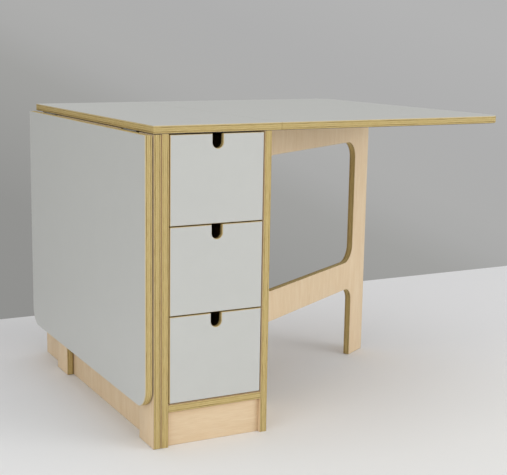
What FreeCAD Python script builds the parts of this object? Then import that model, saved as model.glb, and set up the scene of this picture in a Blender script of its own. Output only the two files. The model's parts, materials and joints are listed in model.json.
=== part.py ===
import FreeCAD, Part
import Sketcher
import os
import re

# Gateleg sewing and cutting table in birch plywood with laminated worktops. A narrow carcass with
# three drawers at each end carries a fixed centre top. A leaf hangs from each long side of it, and a
# plywood gate swings out under each leaf to hold it up. The right leaf is up on its gate, and the
# left leaf hangs with its gate folded behind it.
# Frame: X across the leaves, Y along the carcass, Z up. The origin is the centre of the carcass
# footprint, on the floor. The near end of the table is at -Y.

V = FreeCAD.Vector
Rotation = FreeCAD.Rotation
Placement = FreeCAD.Placement
X_AXIS = V(1, 0, 0)
Y_AXIS = V(0, 1, 0)
Z_AXIS = V(0, 0, 1)
AS_DRAWN = Rotation()
TURNED = Rotation(Z_AXIS, 180)

# Driving dimensions, in millimetres and degrees
SIZES = {
    "table_height": 760,
    "table_depth": 880,
    "ply": 18,
    "laminate": 0.6,
    "laminate_bevel": 0.4,
    "arris": 0.9,  # chamfer of the plywood round a laminated face
    "carcass_width": 282,
    "shelf_base": 86,
    "plinth_setback": 10,
    "housing": 6,  # depth of the grooves that hold the shelf and the divider
    "housing_stop": 10,  # the shelf's grooves stop this far from the ends
    "cleat": 18,
    "cleat_inset": 20,
    "block_height": 70,
    "right_overhang": 26,
    "left_leaf_width": 640,
    "right_leaf_width": 668,
    "leaf_radius": 50,
    "leaf_gap": 1,  # butt gap between the centre top and a raised leaf
    "gate_length": 716,
    "gate_stile": 88,
    "gate_foot_gap": 0.8,
    "gate_head_gap": 1.3,  # between a gate and the underside of its leaf
    "low_rail_base": 213,
    "low_rail_height": 82.5,
    "top_rail_height": 82.6,
    "window_radius": 50,
    "arch_radius": 40,
    "gate_opening": 59,  # the right gate's angle from folded
    "knuckle_notch": 112,  # length of the notch in a gate's top edge that passes a leaf hinge
    "knuckle_notch_depth": 2.5,
    "pad_length": 40,
    "pad_width": 10,
    "pad_play": 0.4,
    "hinge_length": 80,
    "hinge_reach": 16,
    "hinge_plate": 0.9,
    "knuckle_radius": 1.5,
    "knuckle_play": 0.3,
    "pin_standoff": 1.8,  # from a pin's axis to the wood that its hinge is screwed to
    "pin_radius": 0.75,
    "pin_play": 0.05,
    "front_gap": 3,
    "front_ply": 12,
    "notch_width": 28,
    "notch_depth": 34,
    "box_ply": 12,
    "box_lift": 12,
    "box_height": 172,
    "box_back_gap": 5,
    "bottom_ply": 6,
    "bottom_lift": 8,
    "bottom_groove": 5,
    "runner_height": 18,
    "runner_length": 385,
    "runner_thickness": 9,
    "runner_stop": 20,
    "runner_play": 0.5,
}

LEAF_HINGE_STATIONS = (-300, 300)  # centres along Y
GATE_HINGE_STATIONS = (150, 620)  # centres above the floor
PAD_STATIONS = (330, 672)  # centres along a gate, from its pin
DRAWER_ROWS = ("lower", "middle", "upper")

# Heights and reaches that several pieces share, as formulas of the driving dimensions
UNDERSIDE = "(table_height - ply - 2 * laminate)"
SHELF_TOP = "(shelf_base + ply)"
INNER_WIDTH = "(carcass_width - 2 * ply)"
TOP_LEFT = "(-carcass_width / 2 - pin_standoff - ply)"
TOP_RIGHT = "(carcass_width / 2 + right_overhang)"
GATE_TOP = f"({UNDERSIDE} - gate_head_gap)"
GATE_PIN_X = "(carcass_width / 2 + pin_standoff)"
GATE_PIN_Y = "(table_depth / 2 - gate_length - pin_standoff)"
LEAF_PIN_Z = f"({UNDERSIDE} - pin_standoff)"
KNUCKLE_CLEAR = "(knuckle_radius + knuckle_play)"
FRONT_WIDTH = f"({INNER_WIDTH} - 2 * front_gap)"
FRONT_HEIGHT = f"(({UNDERSIDE} - {SHELF_TOP} - 4 * front_gap) / 3)"
FRONT_BACK = "(laminate + front_ply)"
BOX_LENGTH = f"(table_depth / 2 - ply / 2 - box_back_gap - {FRONT_BACK})"
RUNNER_START = f"({FRONT_BACK} + runner_stop + front_gap)"
RUNNER_LIFT = "(box_lift + box_height / 2 - runner_height / 2)"

doc = FreeCAD.newDocument("gateleg_table")
sheet = doc.addObject("Spreadsheet::Sheet", "sizes")
for row, (alias, amount) in enumerate(SIZES.items(), start=1):
    sheet.set(f"A{row}", alias)
    sheet.set(f"B{row}", str(amount))
    sheet.setAlias(f"B{row}", alias)
doc.recompute()

sub_parts = []


def bound(formula):
    """The formula with each driving dimension's name pointed at its cell of the sheet."""
    return re.sub(r"[a-z]+(?:_[a-z]+)*", lambda word: f"sizes.{word[0]}", formula)


def bind(target, attribute, formula):
    target.setExpression(attribute, bound(formula))


def value(formula):
    """What a formula comes to with the sheet's numbers."""
    return float(sheet.evalExpression(bound(formula)))


def keep(sub_part, label):
    """Names a finished sub-part and puts it on the list that is written out."""
    sub_part.Label = label
    sub_parts.append(sub_part)
    return sub_part


def place(piece, x="0", y="0", z="0", rotation=AS_DRAWN):
    piece.Placement = Placement(V(), rotation)
    for axis, formula in (("x", x), ("y", y), ("z", z)):
        bind(piece, f"Placement.Base.{axis}", formula)
    return piece


# ---------------------------------------------------------------- sketched pieces

def sketch_on(body, role, x="0", y="0", z="0"):
    """A sketch on one of the body's origin planes, moved in the sketch's own axes."""
    sketch = body.newObject("Sketcher::SketchObject", "outline")
    plane = next(f for f in body.Origin.OriginFeatures if f.Role == role)
    sketch.AttachmentSupport = [(plane, "")]
    sketch.MapMode = "FlatFace"
    for axis, formula in (("x", x), ("y", y), ("z", z)):
        bind(sketch, f"AttachmentOffset.Base.{axis}", formula)
    return sketch


def measure(sketch, kind, places, name, formula):
    """A named dimension in a sketch, bound to the sheet."""
    number = sketch.addConstraint(Sketcher.Constraint(kind, *places, 1.0))
    sketch.renameConstraint(number, name)
    bind(sketch, f"Constraints.{name}", formula)


def rectangle(sketch, width, height):
    """A rectangle with its lower left corner on the sketch's origin."""
    corners = (V(0, 0), V(9, 0), V(9, 6), V(0, 6))
    for side in range(4):
        sketch.addGeometry(Part.LineSegment(corners[side], corners[(side + 1) % 4]))
    for side in range(4):
        sketch.addConstraint(Sketcher.Constraint("Coincident", side, 2, (side + 1) % 4, 1))
        sketch.addConstraint(Sketcher.Constraint(("Horizontal", "Vertical")[side % 2], side))
    sketch.addConstraint(Sketcher.Constraint("Coincident", 0, 1, -1, 1))
    measure(sketch, "DistanceX", (0, 1, 0, 2), "width", width)
    measure(sketch, "DistanceY", (1, 1, 1, 2), "height", height)


def slot(sketch, width, depth):
    """A slot with a round bottom, whose open top is centred on the sketch's origin."""
    left, right = V(-9, 0), V(9, 0)
    low_left, low_right = V(-9, -5), V(9, -5)
    sketch.addGeometry(Part.LineSegment(left, low_left))
    sketch.addGeometry(Part.Arc(low_left, V(0, -14), low_right))
    sketch.addGeometry(Part.LineSegment(low_right, right))
    sketch.addGeometry(Part.LineSegment(right, left))
    for side in range(4):
        following = (side + 1) % 4
        kind = "Tangent" if 1 in (side, following) else "Coincident"
        sketch.addConstraint(Sketcher.Constraint(kind, side, 2, following, 1))
    sketch.addConstraint(Sketcher.Constraint("Vertical", 0))
    sketch.addConstraint(Sketcher.Constraint("Vertical", 2))
    sketch.addConstraint(Sketcher.Constraint("Horizontal", 3))
    sketch.addConstraint(Sketcher.Constraint("Symmetric", 3, 1, 3, 2, -1, 1))
    measure(sketch, "DistanceX", (3, 2, 3, 1), "width", width)
    measure(sketch, "DistanceY", (0, 2, 0, 1), "straight", f"{depth} - ({width}) / 2")


def pad(body, sketch, length):
    feature = body.newObject("PartDesign::Pad", "pad")
    feature.Profile = sketch
    bind(feature, "Length", length)


def pocket(body, sketch, depth):
    """Cuts a sketch's outline into the body, on the side that a pad of it would fill, and makes sure
    that wood came away."""
    doc.recompute()
    before = body.Shape.Volume
    feature = body.newObject("PartDesign::Pocket", "pocket")
    feature.Profile = sketch
    feature.Reversed = True
    bind(feature, "Length", depth)
    doc.recompute()
    if body.Shape.Volume >= before:
        raise RuntimeError(f"a pocket in {body.Label} cuts nothing")


def dress(body, kind, size_name, size, wanted):
    """A fillet or chamfer on each edge of the body whose bounding box the test wants."""
    doc.recompute()
    base = body.Tip
    edges = [f"Edge{n}" for n, edge in enumerate(base.Shape.Edges, start=1) if wanted(edge.BoundBox)]
    if not edges:
        raise RuntimeError(f"no edge to dress in {body.Label}")
    feature = body.newObject(f"PartDesign::{kind}", kind.lower())
    feature.Base = (base, edges)
    bind(feature, size_name, size)


def near(a, b):
    return abs(a - b) < 0.01


def board(label, role, width, height, thickness, offset=("0", "0", "0")):
    """A rectangular board: a sketched outline padded to its thickness."""
    body = keep(doc.addObject("PartDesign::Body", label), label)
    outline = sketch_on(body, role, *offset)
    rectangle(outline, width, height)
    pad(body, outline, thickness)
    return body


# ---------------------------------------------------------------- pieces from solids

def block(length, width, height, x, y, z):
    """A squared piece, placed by its lowest corner."""
    box = doc.addObject("Part::Box", "block")
    bind(box, "Length", length)
    bind(box, "Width", width)
    bind(box, "Height", height)
    return place(box, x, y, z)


def rod(radius, height, x="0", y="0", z="0", rotation=AS_DRAWN):
    """A round piece, placed by the centre of its lower end."""
    cylinder = doc.addObject("Part::Cylinder", "rod")
    bind(cylinder, "Radius", radius)
    bind(cylinder, "Height", height)
    return place(cylinder, x, y, z, rotation)


def fused(pieces):
    union = doc.addObject("Part::MultiFuse", "fused")
    union.Shapes = pieces
    union.Refine = True
    return union


def cut(base, tool):
    difference = doc.addObject("Part::Cut", "cut")
    difference.Base = base
    difference.Tool = tool
    return difference


def group(label, members):
    """Like pieces as separate solids under one name."""
    compound = doc.addObject("Part::Compound", label)
    compound.Links = members
    return keep(compound, label)


# ---------------------------------------------------------------- carcass

def side_panel(label, x, y, rotation):
    """A carcass side that stands on the floor, with a stopped groove for the shelf and an upright
    groove for the divider in its inner face."""
    body = board(label, "YZ_Plane", "table_depth", UNDERSIDE, "ply")
    inner = "ply - housing"
    shelf_groove = sketch_on(body, "YZ_Plane", "housing_stop", "shelf_base", inner)
    rectangle(shelf_groove, "table_depth - 2 * housing_stop", "ply")
    pocket(body, shelf_groove, "housing")
    divider_groove = sketch_on(body, "YZ_Plane", "table_depth / 2 - ply / 2", SHELF_TOP, inner)
    rectangle(divider_groove, "ply", f"{UNDERSIDE} - {SHELF_TOP}")
    pocket(body, divider_groove, "housing")
    place(body, x, y, "0", rotation)


def bottom_shelf():
    """The board under the drawers. Its long edges sit in the sides' grooves, and its ends come
    forward between the sides to show a flush plywood edge."""
    body = board("bottom_shelf", "XY_Plane", INNER_WIDTH, "table_depth", "ply", ("housing", "0", "0"))
    tongues = sketch_on(body, "XY_Plane", "0", "housing_stop", "0")
    rectangle(tongues, f"{INNER_WIDTH} + 2 * housing", "table_depth - 2 * housing_stop")
    pad(body, tongues, "ply")
    place(body, f"-{INNER_WIDTH} / 2 - housing", "-table_depth / 2", "shelf_base")


def centre_divider():
    """The upright board between the near and the far drawers, housed in both sides."""
    body = board("centre_divider", "XZ_Plane", f"{INNER_WIDTH} + 2 * housing",
                 f"{UNDERSIDE} - {SHELF_TOP}", "ply")
    place(body, f"-{INNER_WIDTH} / 2 - housing", "ply / 2", SHELF_TOP)


def floor_boards():
    """The plinth at each end, set back under the shelf, and a bearer under the middle of it."""
    rear_faces = {
        "near_plinth": "-table_depth / 2 + plinth_setback + ply",
        "centre_bearer": "ply / 2",
        "far_plinth": "table_depth / 2 - plinth_setback",
    }
    for label, rear_face in rear_faces.items():
        place(board(label, "XZ_Plane", INNER_WIDTH, "shelf_base", "ply"), f"-{INNER_WIDTH} / 2", rear_face)


def corner_blocks():
    """Square blocks glued into the corners behind the plinths and the bearer."""
    plinth_back = "(table_depth / 2 - plinth_setback - ply)"
    blocks = []
    for x in (f"-{INNER_WIDTH} / 2", f"{INNER_WIDTH} / 2 - cleat"):
        for y in (f"-{plinth_back}", "ply / 2", f"{plinth_back} - cleat"):
            blocks.append(block("cleat", "cleat", "block_height", x, y, "shelf_base - block_height"))
    group("corner_blocks", blocks)


def top_cleats():
    """Battens along the sides' top edges, which the centre top is screwed down to."""
    length = "table_depth / 2 - cleat_inset - ply / 2"
    cleats = []
    for x in (f"-{INNER_WIDTH} / 2", f"{INNER_WIDTH} / 2 - cleat"):
        for y in ("-table_depth / 2 + cleat_inset", "ply / 2"):
            cleats.append(block("cleat", length, "cleat", x, y, f"{UNDERSIDE} - cleat"))
    group("top_cleats", cleats)


def drawer_base(number):
    """Height of the lower edge of a drawer front, counted from the lowest drawer."""
    return f"({SHELF_TOP} + front_gap + {number} * ({FRONT_HEIGHT} + front_gap))"


def drawer_runners():
    """Hardwood strips on the carcass sides, which run in the grooves of the drawer boxes."""
    runners = []
    for number in range(len(DRAWER_ROWS)):
        for x in (f"-{INNER_WIDTH} / 2", f"{INNER_WIDTH} / 2 - runner_thickness"):
            for y in (f"-table_depth / 2 + {RUNNER_START}",
                      f"table_depth / 2 - {RUNNER_START} - runner_length"):
                runners.append(block("runner_thickness", "runner_length", "runner_height",
                                     x, y, f"{drawer_base(number)} + {RUNNER_LIFT}"))
    group("drawer_runners", runners)


# ---------------------------------------------------------------- worktops

def laminated_board(name, width, far_side_free):
    """A plywood core with a skin of laminate on its top and a backing sheet under it. It is drawn
    from its butt edge at X = 0, with its underside at Z = 0. A free edge has a chamfer round it and
    the skins cut back to match, and a free far side has round corners."""
    width_at = value(width)

    def free_edge(box):
        butts_at = (0,) if far_side_free else (0, width_at)
        return not (near(box.XLength, 0) and any(near(box.XMin, butt) for butt in butts_at))

    layers = (
        ("core", "ply", "laminate", "0", "arris", ("laminate", "laminate + ply")),
        ("laminate", "laminate", "laminate + ply", "arris", "laminate_bevel", ("2 * laminate + ply",)),
        ("backing", "laminate", "0", "arris", None, ()),
    )
    bodies = []
    for layer, thickness, base, inset, bevel, bevel_heights in layers:
        layer_width = f"{width} - {inset}" if far_side_free else width
        body = board(f"{name}_{layer}", "XY_Plane", layer_width, f"table_depth - 2 * {inset}", thickness,
                     ("0", f"-table_depth / 2 + {inset}", base))
        if far_side_free:
            far_side = value(layer_width)
            dress(body, "Fillet", "Radius", f"leaf_radius - {inset}",
                  lambda box: box.ZLength > 0.1 and near(box.XMin, far_side))
        if bevel:
            levels = [value(height) for height in bevel_heights]
            dress(body, "Chamfer", "Size", bevel,
                  lambda box: near(box.ZLength, 0) and any(near(box.ZMin, level) for level in levels)
                  and free_edge(box))
        bodies.append(body)
    return bodies


def centre_top():
    """The fixed middle of the worktop, between the butt edges of the two leaves."""
    for body in laminated_board("centre_top", f"({TOP_RIGHT} - {TOP_LEFT})", far_side_free=False):
        place(body, TOP_LEFT, "0", UNDERSIDE)


# ---------------------------------------------------------------- gates

def gate_frame(label):
    """One sheet of plywood with a rounded window above a low rail and an arch between its two feet.
    Shallow notches in its top edge pass under the knuckles of the leaf hinges. It is drawn along X
    from the hinge pin, with its inner face at Y = 0."""
    body = board(label, "XZ_Plane", "gate_length", f"{GATE_TOP} - gate_foot_gap", "ply",
                 ("pin_standoff", "gate_foot_gap", "0"))
    opening_width = "gate_length - 2 * gate_stile"
    opening_start = "pin_standoff + gate_stile"
    window_base = "(low_rail_base + low_rail_height)"
    cut_outs = [
        (opening_start, window_base, opening_width, f"{GATE_TOP} - top_rail_height - {window_base}"),
        (opening_start, "gate_foot_gap", opening_width, "low_rail_base - gate_foot_gap"),
    ]
    for station in LEAF_HINGE_STATIONS:
        cut_outs.append((f"{station} - {GATE_PIN_Y} - knuckle_notch / 2", f"{GATE_TOP} - knuckle_notch_depth",
                         "knuckle_notch", "knuckle_notch_depth"))
    for start, base, width, height in cut_outs:
        cut_out = sketch_on(body, "XZ_Plane", start, base)
        rectangle(cut_out, width, height)
        pocket(body, cut_out, "ply")
    stile_edges = (value("pin_standoff + gate_stile"), value("pin_standoff + gate_length - gate_stile"))
    rail = value("low_rail_base")

    def inner_corner(box, lowest, highest):
        upright = near(box.XLength, 0) and any(near(box.XMin, edge) for edge in stile_edges)
        return upright and near(box.ZLength, 0) and lowest < box.ZMin < highest

    dress(body, "Fillet", "Radius", "window_radius",
          lambda box: inner_corner(box, rail + 1, value(GATE_TOP)))
    dress(body, "Fillet", "Radius", "arch_radius",
          lambda box: inner_corner(box, value("gate_foot_gap") + 1, rail + 1))
    return body


def rest_pads(label):
    """Low nylon strips on a gate's top edge, which slide under the leaf and carry it."""
    return group(label, [block("pad_length", "pad_width", "gate_head_gap - pad_play",
                               f"{station} - pad_length / 2", "-ply / 2 - pad_width / 2", GATE_TOP)
                         for station in PAD_STATIONS])


# ---------------------------------------------------------------- hinges

def hinge_half(spans, x="0", y="0", z="0", rotation=AS_DRAWN):
    """Half of a butt hinge: a plate rolled into knuckles round the pin. The pin runs along Z and is
    centred on the origin. The plate reaches out along X and lies on wood at Y = pin_standoff."""
    plate_y = "pin_standoff - hinge_plate"
    pieces = [block(f"hinge_reach - {KNUCKLE_CLEAR}", "hinge_plate", "hinge_length",
                    KNUCKLE_CLEAR, plate_y, "-hinge_length / 2")]
    for start, length in spans:
        pieces.append(block(KNUCKLE_CLEAR, "hinge_plate", length, "0", plate_y, start))
        pieces.append(rod("knuckle_radius", length, z=start))
    bore = rod("pin_radius + pin_play", "hinge_length", z="-hinge_length / 2")
    return place(cut(fused(pieces), bore), x, y, z, rotation)


def fixed_half(x, y, z, rotation):
    """The half with the two end knuckles, which stays on the carcass."""
    spans = (("-hinge_length / 2", "hinge_length / 3"), ("hinge_length / 6", "hinge_length / 3"))
    return hinge_half(spans, x, y, z, rotation)


def moving_half(x, y, z, rotation):
    """The half with the middle knuckle, which turns with a leaf or a gate."""
    return hinge_half((("-hinge_length / 6 + knuckle_play", "hinge_length / 3 - 2 * knuckle_play"),),
                      x, y, z, rotation)


def leaf_hinges(side, pin_x, leaf_rotation, towards_top):
    """Butt hinges screwed under a leaf's butt edge and under the centre top. They give the halves and
    pins that stay with the carcass."""
    along = Rotation(X_AXIS, 90)
    plates = [moving_half("0", str(y), "0", along) for y in LEAF_HINGE_STATIONS]
    place(group(f"{side}_leaf_hinge_plates", plates), pin_x, "0", LEAF_PIN_Z, leaf_rotation)
    fixed = [fixed_half(pin_x, str(y), LEAF_PIN_Z, towards_top * along) for y in LEAF_HINGE_STATIONS]
    pins = [rod("pin_radius", "hinge_length", pin_x, f"{y} + hinge_length / 2", LEAF_PIN_Z, along)
            for y in LEAF_HINGE_STATIONS]
    return fixed, pins


def gate_hinges(side, pin_x, pin_y, folded, standing):
    """Butt hinges screwed to a gate's end and to the carcass side."""
    plates = [moving_half("0", "0", str(z), Rotation(Z_AXIS, -90)) for z in GATE_HINGE_STATIONS]
    place(group(f"{side}_gate_hinge_plates", plates), pin_x, pin_y, "0", standing)
    on_side = folded * Rotation(Y_AXIS, 180)
    fixed = [fixed_half(pin_x, pin_y, str(z), on_side) for z in GATE_HINGE_STATIONS]
    pins = [rod("pin_radius", "hinge_length", pin_x, pin_y, f"{z} - hinge_length / 2")
            for z in GATE_HINGE_STATIONS]
    return fixed, pins


# ---------------------------------------------------------------- leaves and gates on the carcass

def leaves():
    """The left leaf hanging from its hinges, and the right leaf level with the centre top."""
    hanging = Rotation(Y_AXIS, -90) * TURNED
    for body in laminated_board("left_leaf", "left_leaf_width", far_side_free=True):
        place(body, f"{TOP_LEFT} - leaf_gap / 2 - pin_standoff", "0", f"{LEAF_PIN_Z} - leaf_gap / 2",
              hanging)
    for body in laminated_board("right_leaf", "right_leaf_width", far_side_free=True):
        place(body, f"{TOP_RIGHT} + leaf_gap", "0", UNDERSIDE)
    return (leaf_hinges("left", f"({TOP_LEFT} - leaf_gap / 2)", hanging, AS_DRAWN),
            leaf_hinges("right", f"({TOP_RIGHT} + leaf_gap / 2)", AS_DRAWN, TURNED))


def gates():
    """The left gate folded against its carcass side, and the right gate swung out."""
    folded_left = Rotation(Z_AXIS, -90)
    folded_right = Rotation(Z_AXIS, 90)
    swung_out = Rotation(Z_AXIS, 90 - SIZES["gate_opening"])
    stands = (
        ("left", f"-{GATE_PIN_X}", f"-{GATE_PIN_Y}", folded_left, folded_left),
        ("right", GATE_PIN_X, GATE_PIN_Y, folded_right, swung_out),
    )
    hardware = []
    for side, pin_x, pin_y, folded, standing in stands:
        for piece in (gate_frame(f"{side}_gate_frame"), rest_pads(f"{side}_gate_rest_pads")):
            place(piece, pin_x, pin_y, "0", standing)
        hardware.append(gate_hinges(side, pin_x, pin_y, folded, standing))
    return hardware


def swinging_parts():
    hardware = [*leaves(), *gates()]
    group("hinge_fixed_plates", [half for fixed, _ in hardware for half in fixed])
    group("hinge_pins", [pin for _, pins in hardware for pin in pins])


# ---------------------------------------------------------------- drawers

def drawer_front(name):
    """The plywood front. It has a finger notch, an arris round its face, and a groove in its back for
    the drawer bottom."""
    back = f"-{FRONT_BACK}"
    body = board(f"{name}_front", "XZ_Plane", FRONT_WIDTH, FRONT_HEIGHT, "front_ply", ("0", "0", back))
    notch = sketch_on(body, "XZ_Plane", f"{FRONT_WIDTH} / 2", FRONT_HEIGHT, back)
    slot(notch, "notch_width", "notch_depth")
    pocket(body, notch, "front_ply")
    face = value("laminate")
    dress(body, "Chamfer", "Size", "arris", lambda box: near(box.YMin, face) and near(box.YLength, 0))
    groove = sketch_on(body, "XZ_Plane", "box_ply - bottom_groove", "box_lift + bottom_lift", back)
    rectangle(groove, f"{FRONT_WIDTH} - 2 * (box_ply - bottom_groove)", "bottom_ply")
    pocket(body, groove, "bottom_groove")
    return body


def drawer_facing(name):
    """The laminate skin on a drawer front, cut back from its arris and round the notch."""
    body = board(f"{name}_facing", "XZ_Plane", f"{FRONT_WIDTH} - 2 * arris", f"{FRONT_HEIGHT} - 2 * arris",
                 "laminate", ("arris", "arris", "-laminate"))
    notch = sketch_on(body, "XZ_Plane", f"{FRONT_WIDTH} / 2", FRONT_HEIGHT, "-laminate")
    slot(notch, "notch_width + 2 * arris", "notch_depth + arris")
    pocket(body, notch, "laminate")
    return body


def drawer_sides(name):
    """Both sides, each with a stopped runner groove outside and a groove for the bottom inside."""
    runner_groove = "(runner_thickness - front_gap + runner_play)"
    inner_left = "(box_ply - bottom_groove)"
    layouts = (
        ("0", "0", inner_left),
        (f"{FRONT_WIDTH} - box_ply", f"{FRONT_WIDTH} - {runner_groove}", f"{FRONT_WIDTH} - box_ply"),
    )
    sides = []
    for x, runner_x, bottom_x in layouts:
        side = block("box_ply", BOX_LENGTH, "box_height", x, FRONT_BACK, "box_lift")
        grooves = fused([
            block(runner_groove, BOX_LENGTH, "runner_height + 2 * runner_play",
                  runner_x, f"{FRONT_BACK} + runner_stop", f"{RUNNER_LIFT} - runner_play"),
            block("bottom_groove", BOX_LENGTH, "bottom_ply", bottom_x, FRONT_BACK, "box_lift + bottom_lift"),
        ])
        sides.append(cut(side, grooves))
    return group(f"{name}_sides", sides)


def drawer_back(name):
    """The back, between the sides and on top of the bottom."""
    lift = "(bottom_lift + bottom_ply)"
    back = block(f"{FRONT_WIDTH} - 2 * box_ply", "box_ply", f"box_height - {lift}",
                 "box_ply", f"{FRONT_BACK} + {BOX_LENGTH} - box_ply", f"box_lift + {lift}")
    return group(f"{name}_back", [back])


def drawer_bottom(name):
    """The thin bottom, slid into the grooves of the sides and of the front."""
    inset = "(box_ply - bottom_groove)"
    return board(f"{name}_bottom", "XY_Plane", f"{FRONT_WIDTH} - 2 * {inset}",
                 f"{BOX_LENGTH} + bottom_groove", "bottom_ply",
                 (inset, f"{FRONT_BACK} - bottom_groove", "box_lift + bottom_lift"))


def drawers():
    """The six drawers, each drawn from the lower left corner of its face inwards along Y."""
    ends = (
        ("near", f"-{FRONT_WIDTH} / 2", "-table_depth / 2", AS_DRAWN),
        ("far", f"{FRONT_WIDTH} / 2", "table_depth / 2", TURNED),
    )
    for end, x, y, rotation in ends:
        for number, row_name in enumerate(DRAWER_ROWS):
            name = f"{end}_{row_name}_drawer"
            for make in (drawer_front, drawer_facing, drawer_sides, drawer_back, drawer_bottom):
                place(make(name), x, y, drawer_base(number), rotation)


# ---------------------------------------------------------------- the table

def build():
    side_panel("left_side_panel", "-carcass_width / 2", "-table_depth / 2", AS_DRAWN)
    side_panel("right_side_panel", "carcass_width / 2", "table_depth / 2", TURNED)
    bottom_shelf()
    centre_divider()
    floor_boards()
    corner_blocks()
    top_cleats()
    drawer_runners()
    centre_top()
    swinging_parts()
    drawers()
    doc.recompute()


def write_parts():
    """Checks every object and writes each sub-part to its own STEP file."""
    for item in doc.Objects:
        if "Invalid" in item.State or "Error" in item.State:
            raise RuntimeError(f"{item.Label} failed: {item.State}")
    for sub_part in sub_parts:
        if sub_part.Shape.isNull() or not sub_part.Shape.isValid():
            raise RuntimeError(f"{sub_part.Label} has no valid shape")
    os.makedirs("parts", exist_ok=True)
    for sub_part in sub_parts:
        sub_part.Shape.exportStep(f"parts/{sub_part.Label}.step")


build()
write_parts()
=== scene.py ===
import json
import math

import bpy
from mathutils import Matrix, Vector

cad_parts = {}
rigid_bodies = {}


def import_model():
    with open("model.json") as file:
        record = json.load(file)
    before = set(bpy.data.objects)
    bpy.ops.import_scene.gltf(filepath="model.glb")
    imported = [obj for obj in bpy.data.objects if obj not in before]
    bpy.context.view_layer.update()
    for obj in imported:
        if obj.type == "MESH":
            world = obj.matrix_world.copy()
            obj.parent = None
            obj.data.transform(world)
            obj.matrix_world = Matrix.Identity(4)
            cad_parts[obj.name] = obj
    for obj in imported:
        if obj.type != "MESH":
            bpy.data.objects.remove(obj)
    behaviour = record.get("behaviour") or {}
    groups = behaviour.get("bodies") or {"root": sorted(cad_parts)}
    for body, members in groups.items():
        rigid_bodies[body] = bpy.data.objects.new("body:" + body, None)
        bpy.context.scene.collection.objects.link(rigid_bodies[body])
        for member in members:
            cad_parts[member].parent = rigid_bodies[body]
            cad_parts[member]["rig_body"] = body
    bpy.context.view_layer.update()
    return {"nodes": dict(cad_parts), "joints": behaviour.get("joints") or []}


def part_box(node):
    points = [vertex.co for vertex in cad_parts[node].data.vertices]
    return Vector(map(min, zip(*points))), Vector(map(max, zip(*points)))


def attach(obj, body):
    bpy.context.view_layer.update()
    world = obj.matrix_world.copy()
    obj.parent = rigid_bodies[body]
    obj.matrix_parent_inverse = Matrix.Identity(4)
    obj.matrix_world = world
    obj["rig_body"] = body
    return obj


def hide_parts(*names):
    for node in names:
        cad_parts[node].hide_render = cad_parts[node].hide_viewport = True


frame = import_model()


# ---------------------------------------------------------------- carcass boards
# Two sides stand on the floor and hold a shelf, a divider, two plinths and a bearer in stopped
# grooves. They are 18 mm birch plywood, sawn to size, with sanded arrises and a clear satin lacquer.

MM = 0.001
BOARD = 18 * MM
SANDED_ARRIS = 0.5 * MM
SIDE_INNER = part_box("right_side_panel")[0][0]
SHELF_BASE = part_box("bottom_shelf")[0][2]
PLINTH_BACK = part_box("far_plinth")[0][1]
WELD = 0.002 * MM
FLAT_WITHIN = math.radians(0.5)
SMOOTH_WITHIN = math.radians(30)
ARRIS_FROM = math.radians(35)

WHITE = "#ffffff"
BLACK = "#000000"
FACE_VENEER = ("#dfc39b", "#e7ceaa", "#eed9b9")
PALE_PLY = "#d9c893"
MIDDLE_PLY = "#c9b57c"
DARK_PLY = "#a48c56"
PLAIN_EDGE = "#cfbb83"
SAWN_FIBRE = ("#c4ad7c", "#f6efdc", WHITE)
SPLIT = "#6c5430"
# a dark strip of painted shade along each sanded arris of a ply edge
ARRIS_PAINTED_SHADE = ("#7c5a30", 0.7 * MM)
GLUE_WANDER = 0.8 * MM
SKIN_SHARE = 0.03
EDGE_ROUGHNESS = 0.85
VENEER_RELIEF = 0.15 * MM


def linear(colour):
    """An sRGB hex value as the linear colour that a shader takes."""
    parts = [int(colour[place:place + 2], 16) / 255 for place in (1, 3, 5)]
    return (*[p / 12.92 if p <= 0.04045 else ((p + 0.055) / 1.055) ** 2.4 for p in parts], 1.0)


def connect(target, inputs):
    """Gives a node's inputs their values, or links them to the sockets that feed them. A node that
    feeds an input does so from its first output in use."""
    for name, feed in inputs.items():
        if isinstance(feed, bpy.types.Node):
            feed = next(socket for socket in feed.outputs if socket.enabled)
        if isinstance(feed, bpy.types.NodeSocket):
            target.id_data.links.new(feed, target.inputs[name])
        else:
            target.inputs[name].default_value = feed


def node(tree, kind, inputs=None, stops=(), stepped=False, **settings):
    """Adds a node with its inputs and settings. Stops are the places and sRGB colours on a ramp, which
    runs smoothly or in steps."""
    added = tree.nodes.new(f"ShaderNode{kind}")
    for name, setting in settings.items():
        setattr(added, name, setting)
    connect(added, inputs or {})
    for number, (place, colour) in enumerate(stops):
        elements = added.color_ramp.elements
        stop = elements[number] if number < 2 else elements.new(place)
        stop.position, stop.color = place, linear(colour)
    if stepped:
        added.color_ramp.interpolation = "CONSTANT"
    return added


def new_finish(name):
    """A material with its node tree, its shader and the place on the object."""
    finish = bpy.data.materials.new(name)
    finish.use_nodes = True
    tree = finish.node_tree
    return finish, tree, tree.nodes["Principled BSDF"], node(tree, "TexCoord").outputs["Object"]


def ply_stops(plies):
    """The plies of a sheet, outer veneer first. Pale and dark plies alternate as the grain turns. The
    real ply is 1.4 mm thick, too fine to show from across a room, so each is drawn as 2 to 2.6 mm."""
    inwards = (PALE_PLY, DARK_PLY, PALE_PLY, MIDDLE_PLY)
    return [(number / plies, inwards[min(number, plies - 1 - number)]) for number in range(plies)]


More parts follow.
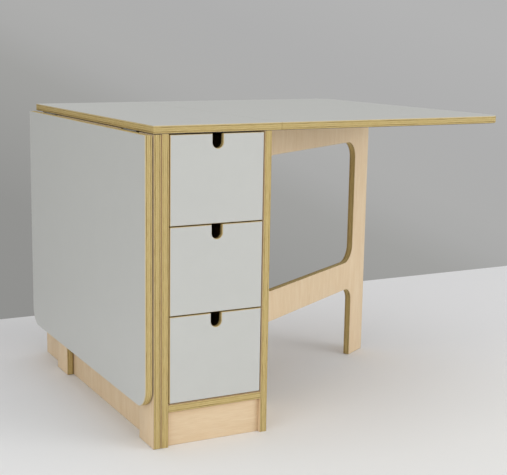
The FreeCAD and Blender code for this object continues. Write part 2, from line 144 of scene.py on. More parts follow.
def birch_plywood(name, through, along, start, thickness=BOARD, plies=7, paired=False,
                  corner=(0, 0, 0), turn=0, stripes=(0.45, 1.0), painted_shade_and_highlight_rims=(ARRIS_PAINTED_SHADE, ARRIS_PAINTED_SHADE)):
    """Birch plywood, rotary cut veneer glued crosswise and clear lacquered: pale faces with a fine
    straight figure, and striped edges where the saw has cut the plies. The sheet's thickness lies
    along one axis from start, and its face grain along another. A pair of boards stands either side
    of the middle. A board with its own corner and turn is laid out from there. Stripes says how
    strongly the plies show on the edge where they show least and where they show most. The rims are
    the tone and depth of a painted strip on the edge next to each face, first the one at start: dark
    painted shade along a sanded arris, and a pale painted highlight on a chamfer beside laminate. A
    pattern's scale is its cells to the metre, through the sheet, across its grain and along it."""
    finish, tree, shader, place = new_finish(name)
    laid = node(tree, "Mapping", {"Vector": place, "Location": corner,
                                  "Rotation": (0, 0, math.radians(turn))}, vector_type="TEXTURE")
    axes = node(tree, "SeparateXYZ", {"Vector": laid}).outputs
    across = ({"X", "Y", "Z"} - {through, along}).pop()
    sheet = node(tree, "CombineXYZ", {"X": axes[through], "Y": axes[across], "Z": axes[along]})
    depth = axes[through]
    if paired:
        depth = node(tree, "Math", {0: depth}, operation="ABSOLUTE")
    end = start + thickness
    layer = node(tree, "MapRange", {"Value": depth, "From Min": start, "From Max": end})

    # glue lines wander by a few tenths of a millimetre over 17 mm
    wander_place = node(tree, "Mapping", {"Vector": sheet, "Scale": (0, 60, 60)})
    wander = node(tree, "TexNoise", {"Vector": wander_place, "Scale": 1.0, "Detail": 1.0})
    waved = node(tree, "Math", {0: wander, 1: 2 * GLUE_WANDER, 2: depth}, operation="MULTIPLY_ADD")
    glued = node(tree, "MapRange", {"Value": waved, "From Min": start + GLUE_WANDER,
                                    "From Max": end + GLUE_WANDER})
    ply = node(tree, "ValToRGB", {"Fac": glued}, ply_stops(plies), stepped=True)

    # the plies stand out in some stretches and blend in others, each about 50 mm long
    stretch_place = node(tree, "Mapping", {"Vector": sheet, "Scale": (45, 20, 20)})
    stretch = node(tree, "TexNoise", {"Vector": stretch_place, "Scale": 1.0, "Detail": 1.0})
    contrast = node(tree, "MapRange", {"Value": stretch, "From Min": 0.40, "From Max": 0.62,
                                       "To Min": stripes[0], "To Max": stripes[1]})
    striped = node(tree, "Mix", {"Factor": contrast, "A": linear(PLAIN_EDGE), "B": ply}, data_type="RGBA")

    # sawn fibres on the edge, 0.4 mm by 22 mm, coarser than real ones so that they still show
    fibre_place = node(tree, "Mapping", {"Vector": sheet, "Scale": (2500, 45, 45)})
    fibre = node(tree, "TexNoise", {"Vector": fibre_place, "Scale": 1.0, "Detail": 3.0, "Roughness": 0.6})
    fibre_tone = node(tree, "ValToRGB", {"Fac": fibre}, zip((0.30, 0.50, 0.70), SAWN_FIBRE))
    sawn = node(tree, "Mix", {"Factor": 0.75, "A": striped, "B": fibre_tone},
                data_type="RGBA", blend_type="MULTIPLY")
    # short dark splits in the core veneers, 0.2 mm by 1.3 mm
    split_place = node(tree, "Mapping", {"Vector": sheet, "Scale": (4500, 750, 750)})
    split = node(tree, "TexNoise", {"Vector": split_place, "Scale": 1.0, "Detail": 1.0})
    split_tone = node(tree, "ValToRGB", {"Fac": split}, ((0.70, WHITE), (0.73, SPLIT)))
    edge = node(tree, "Mix", {"Factor": 0.9, "A": sawn, "B": split_tone},
                data_type="RGBA", blend_type="MULTIPLY")

    # painted shade darkens a strip along each sanded arris, and a painted highlight brightens a chamfer
    # beside laminate, where the pale outer veneer is cut
    (start_tone, start_depth), (end_tone, end_depth) = painted_shade_and_highlight_rims
    painted_rim_stops = ((0.0, WHITE), (start_depth / thickness, BLACK), (1 - end_depth / thickness, WHITE))
    painted_rim_mask = node(tree, "ValToRGB", {"Fac": layer}, painted_rim_stops, stepped=True)
    painted_rim_tone = node(tree, "ValToRGB", {"Fac": layer}, ((0.0, start_tone), (0.5, end_tone)), stepped=True)
    edge_with_painted_rims = node(tree, "Mix", {"Factor": painted_rim_mask, "A": edge, "B": painted_rim_tone}, data_type="RGBA")

    # the face's figure: streaks 1 mm wide and 40 mm long over a drift of tone 14 mm by 125 mm
    streak_place = node(tree, "Mapping", {"Vector": sheet, "Scale": (5, 950, 25)})
    streak = node(tree, "TexNoise", {"Vector": streak_place, "Scale": 1.0, "Detail": 4.0,
                                     "Roughness": 0.55})
    drift_place = node(tree, "Mapping", {"Vector": sheet, "Scale": (5, 70, 8)})
    drift = node(tree, "TexNoise", {"Vector": drift_place, "Scale": 1.0, "Detail": 2.0,
                                    "Distortion": 0.6})
    figure = node(tree, "Mix", {"Factor": 0.35, "A": streak, "B": drift})
    face = node(tree, "ValToRGB", {"Fac": figure}, zip((0.32, 0.50, 0.68), FACE_VENEER))

    # the faces show the figure, and everything between them is a cut edge, which the lacquer soaks
    # into and leaves flatter
    skin_stops = ((0.0, WHITE), (SKIN_SHARE / plies, BLACK), (1 - SKIN_SHARE / plies, WHITE))
    skin = node(tree, "ValToRGB", {"Fac": layer}, skin_stops, stepped=True)
    colour = node(tree, "Mix", {"Factor": skin, "A": edge_with_painted_rims, "B": face}, data_type="RGBA")
    satin = node(tree, "MapRange", {"Value": streak, "To Min": 0.50, "To Max": 0.64})
    gloss = node(tree, "Mix", {"Factor": skin, "A": EDGE_ROUGHNESS, "B": satin})
    relief = node(tree, "Mix", {"Factor": skin, "A": fibre, "B": streak})
    bump = node(tree, "Bump", {"Strength": 0.5, "Distance": VENEER_RELIEF, "Height": relief})
    connect(shader, {"Base Color": colour, "Roughness": gloss, "Normal": bump, "IOR": 1.5})
    return finish


def only(piece):
    """Selects one piece and nothing else."""
    bpy.ops.object.select_all(action="DESELECT")
    piece.select_set(True)
    bpy.context.view_layer.objects.active = piece


def made_from(cad_node, finish, arris):
    """The piece that stands for a solid: its loose triangles joined into whole faces, its arrises
    rounded, and its curves shaded smooth."""
    solid = frame["nodes"][cad_node]
    piece = bpy.data.objects.new(f"{cad_node}_finished", solid.data.copy())
    bpy.context.scene.collection.objects.link(piece)
    piece.data.materials.clear()
    piece.data.materials.append(finish)
    only(piece)
    bpy.ops.mesh.customdata_custom_splitnormals_clear()
    bpy.ops.object.mode_set(mode="EDIT")
    bpy.ops.mesh.select_all(action="SELECT")
    bpy.ops.mesh.remove_doubles(threshold=WELD)
    bpy.ops.mesh.dissolve_limited(angle_limit=FLAT_WITHIN)
    bpy.ops.object.mode_set(mode="OBJECT")
    rounding = piece.modifiers.new("arris", "BEVEL")
    rounding.width = arris
    rounding.segments = 2
    rounding.limit_method = "ANGLE"
    rounding.angle_limit = ARRIS_FROM
    bpy.ops.object.modifier_apply(modifier=rounding.name)
    bpy.ops.object.shade_smooth_by_angle(angle=SMOOTH_WITHIN)
    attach(piece, solid["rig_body"])
    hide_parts(cad_node)
    return piece


def clad(finish, *cad_nodes):
    """Gives carried-over solids their finish."""
    for cad_node in cad_nodes:
        frame["nodes"][cad_node].material_slots[0].material = finish


side_ply = birch_plywood("birch_plywood_side", "X", "Z", SIDE_INNER, paired=True, stripes=(0.2, 0.8))
shelf_ply = birch_plywood("birch_plywood_shelf", "Z", "Y", SHELF_BASE)
plinth_ply = birch_plywood("birch_plywood_plinth", "Y", "X", PLINTH_BACK, paired=True)
middle_ply = birch_plywood("birch_plywood_middle", "Y", "X", -BOARD / 2)
for board, ply in (("left_side_panel", side_ply), ("right_side_panel", side_ply),
                   ("bottom_shelf", shelf_ply),
                   ("near_plinth", plinth_ply), ("far_plinth", plinth_ply)):
    made_from(board, ply, SANDED_ARRIS)
clad(middle_ply, "centre_divider", "centre_bearer")


# ---------------------------------------------------------------- blocks, cleats and runners
# Glue blocks behind the plinths, battens under the centre top and strips for the drawers to run on.
# They are beech, planed on four sides, left without lacquer, and glued and pinned in place.

BEECH = ("#b98a5e", "#c89b6e", "#d2a97d")
BEECH_RAY = "#8d6440"
BEECH_RELIEF = 0.2 * MM
PLANED_ARRIS = 1.0 * MM


def beech(name, along):
    """Steamed beech, planed: an even pinkish brown with short dark rays along the grain."""
    finish, tree, shader, place = new_finish(name)
    stretch = {"Y": (1, 0.06, 1), "Z": (1, 1, 0.06)}[along]
    grain_place = node(tree, "Mapping", {"Vector": place, "Scale": stretch})
    # grain 6 mm wide and 100 mm long
    grain = node(tree, "TexNoise", {"Vector": grain_place, "Scale": 160.0, "Detail": 4.0})
    tone = node(tree, "ValToRGB", {"Fac": grain}, zip((0.32, 0.50, 0.68), BEECH))
    # rays 0.2 to 0.5 mm wide and 4 to 8 mm long
    ray = node(tree, "TexVoronoi", {"Vector": grain_place, "Scale": 900.0})
    ray_tone = node(tree, "ValToRGB", {"Fac": ray}, ((0.10, BEECH_RAY), (0.22, WHITE)))
    colour = node(tree, "Mix", {"Factor": 0.5, "A": tone, "B": ray_tone},
                  data_type="RGBA", blend_type="MULTIPLY")
    gloss = node(tree, "MapRange", {"Value": grain, "To Min": 0.6, "To Max": 0.75})
    bump = node(tree, "Bump", {"Strength": 0.4, "Distance": BEECH_RELIEF, "Height": grain})
    connect(shader, {"Base Color": colour, "Roughness": gloss, "Normal": bump, "IOR": 1.5})
    return finish


lengthwise_beech = beech("planed_beech", "Y")
upright_beech = beech("planed_beech_upright", "Z")
made_from("corner_blocks", upright_beech, PLANED_ARRIS)
cleats = made_from("top_cleats", lengthwise_beech, PLANED_ARRIS)
made_from("drawer_runners", lengthwise_beech, PLANED_ARRIS)


# ---------------------------------------------------------------- centre top and leaves
# Each is an 18 mm birch plywood core with 0.6 mm laminate pressed on its top and a plainer sheet
# under it. The plywood edge is left bare all round, chamfered next to the laminate and sanded.

CORE_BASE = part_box("centre_top_core")[0][2]
TOP_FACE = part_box("centre_top_laminate")[1][2]
LEFT_CORE_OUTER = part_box("left_leaf_core")[0][0]
LEFT_LEAF_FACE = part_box("left_leaf_laminate")[0][0]
LAMINATE = 0.6 * MM
TOP_ARRIS = 0.3 * MM
# a pale strip on the chamfer beside the laminate: the pale outer veneer, brightened with painted highlight
TOP_CHAMFER_PAINTED_HIGHLIGHT = ("#cfc3a3", 1.4 * MM)
LAMINATE_GREY = ("#c9cac6", "#cacbc7", "#cbccc8")
LAMINATE_EDGE = "#d8cfb8"
BACKING_GREY = ("#9f9d96", "#a19f98", "#a3a19a")
BACKING_EDGE = "#3c2c1c"
DECOR_SHARE = 0.3
PLATE_RELIEF = 0.05 * MM


def laminate(name, greys, edge, through, face, inwards, paired=False):
    """High pressure laminate, pressed against a fine matt plate: an even pale grey with a faint cloud
    in it and a soft sheen. Its cut edge is paper core, pale in the decor sheet and brown in the
    backing. Face is where it lies on one axis, and inwards is 1 or -1, the way from there to its back."""
    finish, tree, shader, place = new_finish(name)
    # a cloud of 40 mm and a speckle of 2 mm, which the real sheet has finer
    cloud = node(tree, "TexNoise", {"Vector": place, "Scale": 24.0, "Detail": 3.0})
    speckle = node(tree, "TexNoise", {"Vector": place, "Scale": 520.0, "Detail": 2.0})
    clouded = node(tree, "Mix", {"Factor": 0.4, "A": cloud, "B": speckle})
    grey = node(tree, "ValToRGB", {"Fac": clouded}, zip((0.36, 0.50, 0.64), greys))
    depth = node(tree, "SeparateXYZ", {"Vector": place}).outputs[through]
    if paired:
        depth = node(tree, "Math", {0: depth}, operation="ABSOLUTE")
    back = face + inwards * LAMINATE
    layer = node(tree, "MapRange", {"Value": depth, "From Min": face, "From Max": back})
    core = node(tree, "ValToRGB", {"Fac": layer}, ((0.0, BLACK), (DECOR_SHARE, WHITE)), stepped=True)
    colour = node(tree, "Mix", {"Factor": core, "A": grey, "B": linear(edge)}, data_type="RGBA")
    gloss = node(tree, "MapRange", {"Value": cloud, "To Min": 0.42, "To Max": 0.54})
    bump = node(tree, "Bump", {"Strength": 0.25, "Distance": PLATE_RELIEF, "Height": speckle})
    connect(shader, {"Base Color": colour, "Roughness": gloss, "Normal": bump, "IOR": 1.5})
    return finish


level_core = birch_plywood("birch_plywood_top", "Z", "Y", CORE_BASE, stripes=(0.3, 0.85),
                           painted_shade_and_highlight_rims=(ARRIS_PAINTED_SHADE, TOP_CHAMFER_PAINTED_HIGHLIGHT))
hanging_core = birch_plywood("birch_plywood_hanging_leaf", "X", "Y", LEFT_CORE_OUTER,
                             painted_shade_and_highlight_rims=(TOP_CHAMFER_PAINTED_HIGHLIGHT, ARRIS_PAINTED_SHADE))
for board, ply in (("centre_top_core", level_core), ("right_leaf_core", level_core),
                   ("left_leaf_core", hanging_core)):
    made_from(board, ply, TOP_ARRIS)
clad(laminate("grey_laminate_level", LAMINATE_GREY, LAMINATE_EDGE, "Z", TOP_FACE, -1),
     "centre_top_laminate", "right_leaf_laminate")
clad(laminate("grey_laminate_hanging", LAMINATE_GREY, LAMINATE_EDGE, "X", LEFT_LEAF_FACE, 1),
     "left_leaf_laminate")
clad(laminate("backing_laminate_level", BACKING_GREY, BACKING_EDGE, "Z", CORE_BASE - LAMINATE, 1),
     "centre_top_backing", "right_leaf_backing")
clad(laminate("backing_laminate_hanging", BACKING_GREY, BACKING_EDGE, "X",
              LEFT_CORE_OUTER + BOARD + LAMINATE, -1), "left_leaf_backing")


# ---------------------------------------------------------------- gates
# One sheet of birch plywood each, with a rounded window above a low rail and an arch between two
# feet, cut with a router and sanded. Two low nylon strips are glued to the top edge of each.

JOINTS = {joint["name"]: joint for joint in frame["joints"]}
LEFT_PIN = JOINTS["left_gate_hinge"]["pos_m"]
RIGHT_PIN = JOINTS["right_gate_hinge"]["pos_m"]
# the way that each gate runs from its pin, in degrees from the X axis
LEFT_TURN = -90
RIGHT_TURN = JOINTS["right_gate_hinge"]["range_deg"][1]
GATE_ARRIS = 0.5 * MM
STRIP_EDGE = 0.25 * MM
NYLON = ("#dcd8cb", "#e4e1d5", "#e9e6dc")
NYLON_RELIEF = 0.1 * MM

for gate, pin, turn in (("left_gate_frame", LEFT_PIN, LEFT_TURN),
                        ("right_gate_frame", RIGHT_PIN, RIGHT_TURN)):
    gate_ply = birch_plywood(f"birch_plywood_{gate}", "Y", "Z", -BOARD, corner=pin, turn=turn,
                             stripes=(0.6, 1.0))
    made_from(gate, gate_ply, GATE_ARRIS)


def moulded_nylon(name):
    """Natural nylon, moulded: off white, a little waxy, with a faint flow mark."""
    finish, tree, shader, place = new_finish(name)
    # flow marks 6 mm across
    flow = node(tree, "TexNoise", {"Vector": place, "Scale": 180.0, "Detail": 2.0, "Distortion": 1.0})
    tone = node(tree, "ValToRGB", {"Fac": flow}, zip((0.35, 0.50, 0.65), NYLON))
    gloss = node(tree, "MapRange", {"Value": flow, "To Min": 0.34, "To Max": 0.46})
    bump = node(tree, "Bump", {"Strength": 0.2, "Distance": NYLON_RELIEF, "Height": flow})
    connect(shader, {"Base Color": tone, "Roughness": gloss, "Normal": bump, "IOR": 1.53})
    return finish


nylon = moulded_nylon("moulded_nylon")
for pads in ("left_gate_rest_pads", "right_gate_rest_pads"):
    made_from(pads, nylon, STRIP_EDGE)


# ---------------------------------------------------------------- hinges
# Butt hinges with knuckles rolled from 0.9 mm steel strip round a loose pin, zinc plated. The halves
# are screwed to the underside of the tops, the carcass sides and the ends of the gates.

ZINC = ("#a9aaa8", "#bcbdba", "#c9c9c4")
ZINC_RELIEF = 0.03 * MM
STAMPED_EDGE = 0.1 * MM


def zinc_plate(name, along):
    """Zinc plated steel, rolled and passivated: a soft metal gloss with fine drawn lines and a faint
    change of tone in patches."""
    finish, tree, shader, place = new_finish(name)
    stretch = {"Y": (1, 0.05, 1), "Z": (1, 1, 0.05)}[along]
    drawn_place = node(tree, "Mapping", {"Vector": place, "Scale": stretch})
    # drawn lines 0.4 mm apart and 8 mm long, over patches of 11 mm
    drawn = node(tree, "TexNoise", {"Vector": drawn_place, "Scale": 2400.0, "Detail": 2.0})
    patch = node(tree, "TexNoise", {"Vector": place, "Scale": 90.0, "Detail": 2.0})
    tone = node(tree, "ValToRGB", {"Fac": patch}, zip((0.35, 0.50, 0.65), ZINC))
    gloss = node(tree, "MapRange", {"Value": drawn, "To Min": 0.26, "To Max": 0.44})
    bump = node(tree, "Bump", {"Strength": 0.2, "Distance": ZINC_RELIEF, "Height": drawn})
    connect(shader, {"Base Color": tone, "Roughness": gloss, "Normal": bump, "Metallic": 1.0})
    return finish


lying_zinc = zinc_plate("zinc_plated_steel", "Y")
upright_zinc = zinc_plate("zinc_plated_steel_upright", "Z")
hinges = {}
for part, zinc in (("hinge_fixed_plates", lying_zinc), ("left_leaf_hinge_plates", lying_zinc),
                   ("right_leaf_hinge_plates", lying_zinc), ("left_gate_hinge_plates", upright_zinc),
                   ("right_gate_hinge_plates", upright_zinc), ("hinge_pins", lying_zinc)):
    hinges[part] = made_from(part, zinc, STAMPED_EDGE)
fixed_plates = hinges["hinge_fixed_plates"]


# ---------------------------------------------------------------- screws
# Countersunk steel wood screws with a cross recess, cold headed and zinc plated. Two hold each half
# of a hinge, and eight longer ones hold the centre top down through its cleats.

HINGE_SCREW = 14 * MM
CLEAT_SCREW = 30 * MM
HEAD_RADIUS = 2.8 * MM
HEAD_ROUND = 0.1 * MM
HEAD_RIM = 0.3 * MM
HEAD_HEIGHT = 1.7 * MM
HEAD_PROUD = 0.1 * MM
SHANK_RADIUS = 1.5 * MM
TIP = 3 * MM
TIP_RADIUS = 0.2 * MM
COUNTERSINK_ROOM = 1.04
RECESS_DEPTH = 1.1 * MM
RECESS_OVER = 0.2 * MM
RECESS_MOUTH = 2.3 * MM
RECESS_END = 1.2 * MM
RECESS_SHARE = 0.22

PLATE = 0.9 * MM
FROM_PIN = 9.5 * MM
UNDER_TOP = CORE_BASE - LAMINATE - PLATE
BEHIND_LEAF = LEFT_CORE_OUTER + BOARD + LAMINATE + PLATE
BESIDE_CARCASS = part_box("right_side_panel")[1][0] + PLATE
HALF_HINGE = 40 * MM
SCREW_OFFSET = 25 * MM
LEAF_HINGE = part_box("right_leaf_hinge_plates")[1][1] - HALF_HINGE
LOW_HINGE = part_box("right_gate_hinge_plates")[0][2] + HALF_HINGE
HIGH_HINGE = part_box("right_gate_hinge_plates")[1][2] - HALF_HINGE
LEAF_STATIONS = [hinge + side * SCREW_OFFSET for hinge in (-LEAF_HINGE, LEAF_HINGE) for side in (-1, 1)]
GATE_STATIONS = [hinge + side * SCREW_OFFSET for hinge in (LOW_HINGE, HIGH_HINGE) for side in (-1, 1)]
CLEAT_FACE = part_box("top_cleats")[0][2]
CLEAT_MIDDLE = 114 * MM
CLEAT_SPACING = 220 * MM
CLEAT_STATIONS = [(number - 1.5) * CLEAT_SPACING for number in range(4)]


def turned_screw(name, length):
    """A screw that points upwards from the face of its head, which lies at the origin. A disc is drawn
    up through the head's rim, the countersunk part and the shank to the tip."""
    height, radius = 0.0, HEAD_RADIUS - HEAD_ROUND
    bpy.ops.object.select_all(action="DESELECT")
    bpy.ops.mesh.primitive_circle_add(vertices=24, radius=radius, fill_type="NGON")
    piece = bpy.context.active_object
    piece.name = name
    bpy.ops.object.mode_set(mode="EDIT")
    bpy.ops.mesh.select_all(action="SELECT")
    for next_height, next_radius in ((HEAD_ROUND, HEAD_RADIUS), (HEAD_RIM, HEAD_RADIUS),
                                     (HEAD_HEIGHT, SHANK_RADIUS), (length - TIP, SHANK_RADIUS),
                                     (length, TIP_RADIUS)):
        bpy.ops.mesh.extrude_region_move(TRANSFORM_OT_translate={"value": (0, 0, next_height - height)})
        bpy.ops.transform.resize(value=(next_radius / radius, next_radius / radius, 1),
                                 center_override=(0, 0, next_height))
        height, radius = next_height, next_radius
    bpy.ops.mesh.select_all(action="SELECT")
    bpy.ops.mesh.normals_make_consistent(inside=False)
    bpy.ops.object.mode_set(mode="OBJECT")
    return piece


def cut_away(piece, tool):
    """Cuts a tool's shape out of a piece."""
    only(piece)
    cut = piece.modifiers.new("cut", "BOOLEAN")
    cut.object = tool
    cut.operation = "DIFFERENCE"
    cut.solver = "EXACT"
    bpy.ops.object.modifier_apply(modifier=cut.name)
    bpy.ops.object.shade_smooth_by_angle(angle=SMOOTH_WITHIN)


def twin(piece):
    """A copy of a piece with a mesh of its own."""
    copied = piece.copy()
    copied.data = piece.data.copy()
    bpy.context.scene.collection.objects.link(copied)
    return copied


def set_out(pattern, name, places, towards):
    """Copies of a screw, one at each place with its tip in one direction, joined into one piece."""
    copies = []
    for place in places:
        one = twin(pattern)
        one.rotation_euler = Vector(towards).to_track_quat("Z", "Y").to_euler()
        one.location = Vector(place) - Vector(towards) * HEAD_PROUD
        copies.append(one)
    only(copies[0])
    for one in copies:
        one.select_set(True)
    bpy.ops.object.join()
    copies[0].name = name
    bpy.ops.object.transform_apply(location=True, rotation=True, scale=True)
    return copies[0]


hinge_screw = turned_screw("hinge_screw", HINGE_SCREW)
cleat_screw = turned_screw("cleat_screw", CLEAT_SCREW)
countersink = twin(hinge_screw)
only(countersink)
bpy.ops.transform.resize(value=(COUNTERSINK_ROOM, COUNTERSINK_ROOM, 1), center_override=(0, 0, 0))
bpy.ops.object.transform_apply(location=True, rotation=True, scale=True)

# the cross recess is two slots that taper inwards, each 3 mm long and 0.7 mm wide at the face
for narrowed in ((1, RECESS_SHARE, 1), (RECESS_SHARE, 1, 1)):
    bpy.ops.object.select_all(action="DESELECT")
    bpy.ops.mesh.primitive_cone_add(vertices=4, radius1=RECESS_MOUTH, radius2=RECESS_END,
                                    depth=RECESS_DEPTH + RECESS_OVER,
                                    location=(0, 0, (RECESS_DEPTH - RECESS_OVER) / 2),
                                    rotation=(0, 0, math.radians(45)))
    recess = bpy.context.active_object
    bpy.ops.object.transform_apply(location=True, rotation=True, scale=True)
    recess.scale = narrowed
    for screw in (hinge_screw, cleat_screw):
        cut_away(screw, recess)
    bpy.data.objects.remove(recess)


def drive(name, body, holed, towards, places, pattern=hinge_screw):
    """Sinks screws into a piece, one at each place, and lets them ride with a body."""
    tool = set_out(countersink, "countersinks", places, towards)
    cut_away(holed, tool)
    bpy.data.objects.remove(tool)
    screws = set_out(pattern, name, places, towards)
    screws.data.materials.append(lying_zinc)
    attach(screws, body)


right_leaf_pin = JOINTS["right_leaf_hinge"]["pos_m"]
left_leaf_pin = JOINTS["left_leaf_hinge"]["pos_m"]
# the right gate stands at an angle, so the screws in its end lie along it
along_gate = Vector((math.cos(math.radians(RIGHT_TURN)), math.sin(math.radians(RIGHT_TURN)), 0))
across_gate = Vector((along_gate.y, -along_gate.x, 0))
gate_end = Vector(RIGHT_PIN) + along_gate * PLATE + across_gate * FROM_PIN
drive("right_leaf_fixed_screws", "carcass", fixed_plates, (0, 0, 1),
      [(right_leaf_pin[0] - FROM_PIN, y, UNDER_TOP) for y in LEAF_STATIONS])
drive("right_leaf_screws", "right_leaf", hinges["right_leaf_hinge_plates"], (0, 0, 1),
      [(right_leaf_pin[0] + FROM_PIN, y, UNDER_TOP) for y in LEAF_STATIONS])
drive("left_leaf_fixed_screws", "carcass", fixed_plates, (0, 0, 1),
      [(left_leaf_pin[0] + FROM_PIN, y, UNDER_TOP) for y in LEAF_STATIONS])
drive("left_leaf_screws", "left_leaf", hinges["left_leaf_hinge_plates"], (-1, 0, 0),
      [(BEHIND_LEAF, y, left_leaf_pin[2] - FROM_PIN) for y in LEAF_STATIONS])
drive("right_gate_fixed_screws", "carcass", fixed_plates, (-1, 0, 0),
      [(BESIDE_CARCASS, RIGHT_PIN[1] - FROM_PIN, z) for z in GATE_STATIONS])
drive("right_gate_screws", "right_gate", hinges["right_gate_hinge_plates"], along_gate,
      [(gate_end.x, gate_end.y, z) for z in GATE_STATIONS])
drive("left_gate_fixed_screws", "carcass", fixed_plates, (1, 0, 0),
      [(-BESIDE_CARCASS, LEFT_PIN[1] + FROM_PIN, z) for z in GATE_STATIONS])
drive("left_gate_screws", "left_gate", hinges["left_gate_hinge_plates"], (0, -1, 0),
      [(LEFT_PIN[0] - FROM_PIN, LEFT_PIN[1] - PLATE, z) for z in GATE_STATIONS])
drive("cleat_screws", "carcass", cleats, (0, 0, 1),
      [(x, y, CLEAT_FACE) for x in (-CLEAT_MIDDLE, CLEAT_MIDDLE) for y in CLEAT_STATIONS], cleat_screw)
for pattern in (hinge_screw, cleat_screw, countersink):
    bpy.data.objects.remove(pattern)


# ---------------------------------------------------------------- drawers
# Each is a box of 12 mm birch plywood with a 6 mm bottom in grooves, a front with a finger notch and
# an arris round its face, and the tabletop's laminate glued on that face.

FRONT_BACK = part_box("far_lower_drawer_front")[0][1]
DRAWER_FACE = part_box("far_lower_drawer_facing")[1][1]
BOX_BOARD = 12 * MM
BOX_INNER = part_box("far_lower_drawer_sides")[1][0] - BOX_BOARD
BACK_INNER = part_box("far_lower_drawer_back")[0][1]
BOTTOM = 6 * MM
FRONT_ARRIS = 0.3 * MM
# a pale strip on the chamfer beside the facing: the pale outer veneer, brightened with painted highlight
FRONT_CHAMFER_PAINTED_HIGHLIGHT = ("#dcc690", 1.4 * MM)
BOX_ARRIS = 1.5 * MM

front_ply = birch_plywood("birch_plywood_drawer_front", "Y", "X", FRONT_BACK, BOX_BOARD, 5, paired=True,
                          painted_shade_and_highlight_rims=(ARRIS_PAINTED_SHADE, FRONT_CHAMFER_PAINTED_HIGHLIGHT))
box_side_ply = birch_plywood("birch_plywood_drawer_side", "X", "Y", BOX_INNER, BOX_BOARD, 5, paired=True)
box_back_ply = birch_plywood("birch_plywood_drawer_back", "Y", "X", BACK_INNER, BOX_BOARD, 5, paired=True)
facing = laminate("grey_laminate_drawers", LAMINATE_GREY, LAMINATE_EDGE, "Y", DRAWER_FACE, -1, paired=True)
for row in ("lower", "middle", "upper"):
    bottom_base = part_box(f"near_{row}_drawer_bottom")[0][2]
    bottom_ply = birch_plywood(f"birch_plywood_{row}_bottom", "Z", "Y", bottom_base, BOTTOM, 3)
    for end in ("near", "far"):
        drawer = f"{end}_{row}_drawer"
        made_from(f"{drawer}_front", front_ply, FRONT_ARRIS)
        made_from(f"{drawer}_sides", box_side_ply, BOX_ARRIS)
        made_from(f"{drawer}_back", box_back_ply, BOX_ARRIS)
        clad(bottom_ply, f"{drawer}_bottom")
        clad(facing, f"{drawer}_facing")


# ---------------------------------------------------------------- floor, backdrop, lamps and camera
# A pale studio floor that ends at a grey wall behind the table, a soft room light from above with two
# large lamps in front, and a camera in front, to the left and a little above the worktop.

FLOOR_BACK = 0.876
FLOOR_REACH = 3.4
# the floor's tones carry painted light, lighter towards the front, and painted shade round the far left
# corner
FLOOR_AWAY = "#e7e7e8"
FLOOR_NEAR = "#f2f2f1"
FLOOR_PAINTED_SHADE = "#dbdbdc"
FLOOR_ROUGHNESS = 0.8
FLOOR_CLOUD = 0.12
PAINTED_LIGHT_TOWARDS = (0, -1.2, 0)
PAINTED_SHADE_CORNER = (-0.3, 1.1, 0)
PAINTED_SHADE_FADE = (1.0, 0.4)

# the wall's greys carry painted shade, darker low on the left, and painted light towards the upper right
WALL_GREYS_WITH_PAINTED_SHADE = ((0.0, "#91918f"), (0.20, "#939391"), (0.48, "#a2a2a0"), (0.56, "#ababaa"), (0.62, "#aeaead"),
              (0.78, "#afafaf"), (0.97, "#b4b4b4"))
WALL_RISE = (0.53, 0, 1.0)
WALL_LOW = -0.10
WALL_HIGH = 0.36
HORIZON_LIGHT = 0.29
OVERHEAD_LIGHT = 1.02

LAMPS = (("soft_key_lamp", (4.5, -4.9, 2.05), 128.0), ("soft_fill_lamp", (-5.15, -3.3, 2.2), 73.0))
LAMP_SIZE = 3.6
LAMP_TARGET = Vector((0.1, 0, 0.4))
CAMERA_PLACE = (-1.09752, -2.63451, 0.94633)
CAMERA_ANGLES = (79.5896, -0.4711, -25.7014)
SENSOR_WIDTH = 36.0
FOCAL_LENGTH = 76.053
SHIFT_RIGHT = 0.10

bpy.ops.mesh.primitive_plane_add(size=1, location=(0, (FLOOR_BACK - FLOOR_REACH) / 2, 0))
floor = bpy.context.active_object
floor.name = "studio_floor"
bpy.ops.transform.resize(value=(2 * FLOOR_REACH, FLOOR_BACK + FLOOR_REACH, 1))
bpy.ops.object.transform_apply(location=True, rotation=True, scale=True)
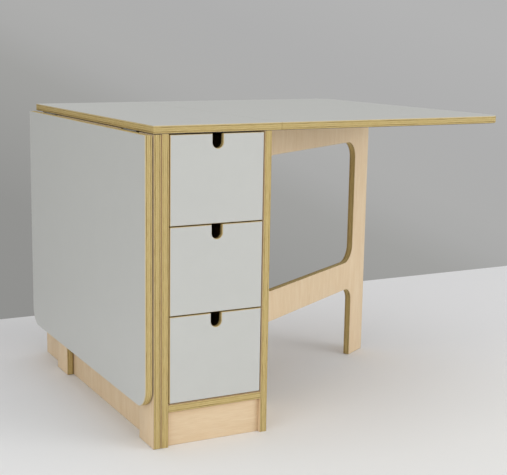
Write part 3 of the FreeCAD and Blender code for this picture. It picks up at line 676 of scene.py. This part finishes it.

# Painted screed, rolled: a pale grey with a faint cloud in it. Painted light makes it a little lighter
# towards the front, and painted shade darkens the far left corner.
screed, paint, screed_shader, screed_place = new_finish("painted_screed")
cloud = node(paint, "TexNoise", {"Vector": screed_place, "Scale": 2.0, "Detail": 2.0})
painted_light_slope = node(paint, "VectorMath", {0: screed_place, 1: PAINTED_LIGHT_TOWARDS}, operation="DOT_PRODUCT")
drift = node(paint, "Math", {0: cloud, 1: FLOOR_CLOUD, 2: painted_light_slope}, operation="MULTIPLY_ADD")
tone = node(paint, "ValToRGB", {"Fac": drift}, ((0.0, FLOOR_AWAY), (0.9, FLOOR_NEAR)))
away = node(paint, "VectorMath", {0: screed_place, 1: PAINTED_SHADE_CORNER}, operation="DISTANCE")
corner = node(paint, "MapRange", {"Value": away, "From Min": PAINTED_SHADE_FADE[0], "From Max": PAINTED_SHADE_FADE[1]})
floor_colour_with_painted_shade = node(paint, "Mix", {"Factor": corner, "A": tone, "B": linear(FLOOR_PAINTED_SHADE)}, data_type="RGBA")
connect(screed_shader, {"Base Color": floor_colour_with_painted_shade, "Roughness": FLOOR_ROUGHNESS})
floor.data.materials.append(screed)

# The room's light is even all round and stronger from above. The camera and reflections see the
# wall's grey in its place, with painted shade low on the left and painted light towards the upper right.
world = bpy.data.worlds.new("studio_room")
bpy.context.scene.world = world
world.use_nodes = True
room = world.node_tree
wall = room.nodes["Background"]
direction = node(room, "TexCoord").outputs["Generated"]
across = node(room, "VectorMath", {0: direction, 1: WALL_RISE}, operation="DOT_PRODUCT")
rise = node(room, "MapRange", {"Value": across, "From Min": WALL_LOW, "From Max": WALL_HIGH})
connect(wall, {"Color": node(room, "ValToRGB", {"Fac": rise}, WALL_GREYS_WITH_PAINTED_SHADE)})
upwards = node(room, "SeparateXYZ", {"Vector": direction}).outputs["Z"]
strength = node(room, "MapRange", {"Value": upwards, "To Min": HORIZON_LIGHT, "To Max": OVERHEAD_LIGHT})
lit = node(room, "Background", {"Color": linear(WHITE), "Strength": strength})
ray = node(room, "LightPath").outputs
seen = node(room, "Math", {0: ray["Is Camera Ray"], 1: ray["Is Glossy Ray"]}, operation="ADD")
seen_through = node(room, "Math", {0: seen, 1: ray["Is Transmission Ray"]}, operation="ADD", use_clamp=True)
mixed = node(room, "MixShader", {"Fac": seen_through, 1: lit, 2: wall})
connect(room.nodes["World Output"], {"Surface": mixed})

for lamp_name, place, watts in LAMPS:
    bpy.ops.object.light_add(type="AREA", location=place)
    lamp = bpy.context.active_object
    lamp.name = lamp_name
    lamp.data.energy = watts
    lamp.data.size = LAMP_SIZE
    lamp.rotation_euler = (LAMP_TARGET - Vector(place)).to_track_quat("-Z", "Y").to_euler()

bpy.ops.object.camera_add(location=CAMERA_PLACE, rotation=[math.radians(angle) for angle in CAMERA_ANGLES])
camera = bpy.context.active_object
camera.name = "studio_camera"
camera.data.sensor_width = SENSOR_WIDTH
camera.data.lens = FOCAL_LENGTH
camera.data.shift_x = SHIFT_RIGHT
bpy.context.scene.camera = camera
bpy.context.scene.view_settings.view_transform = "Standard"
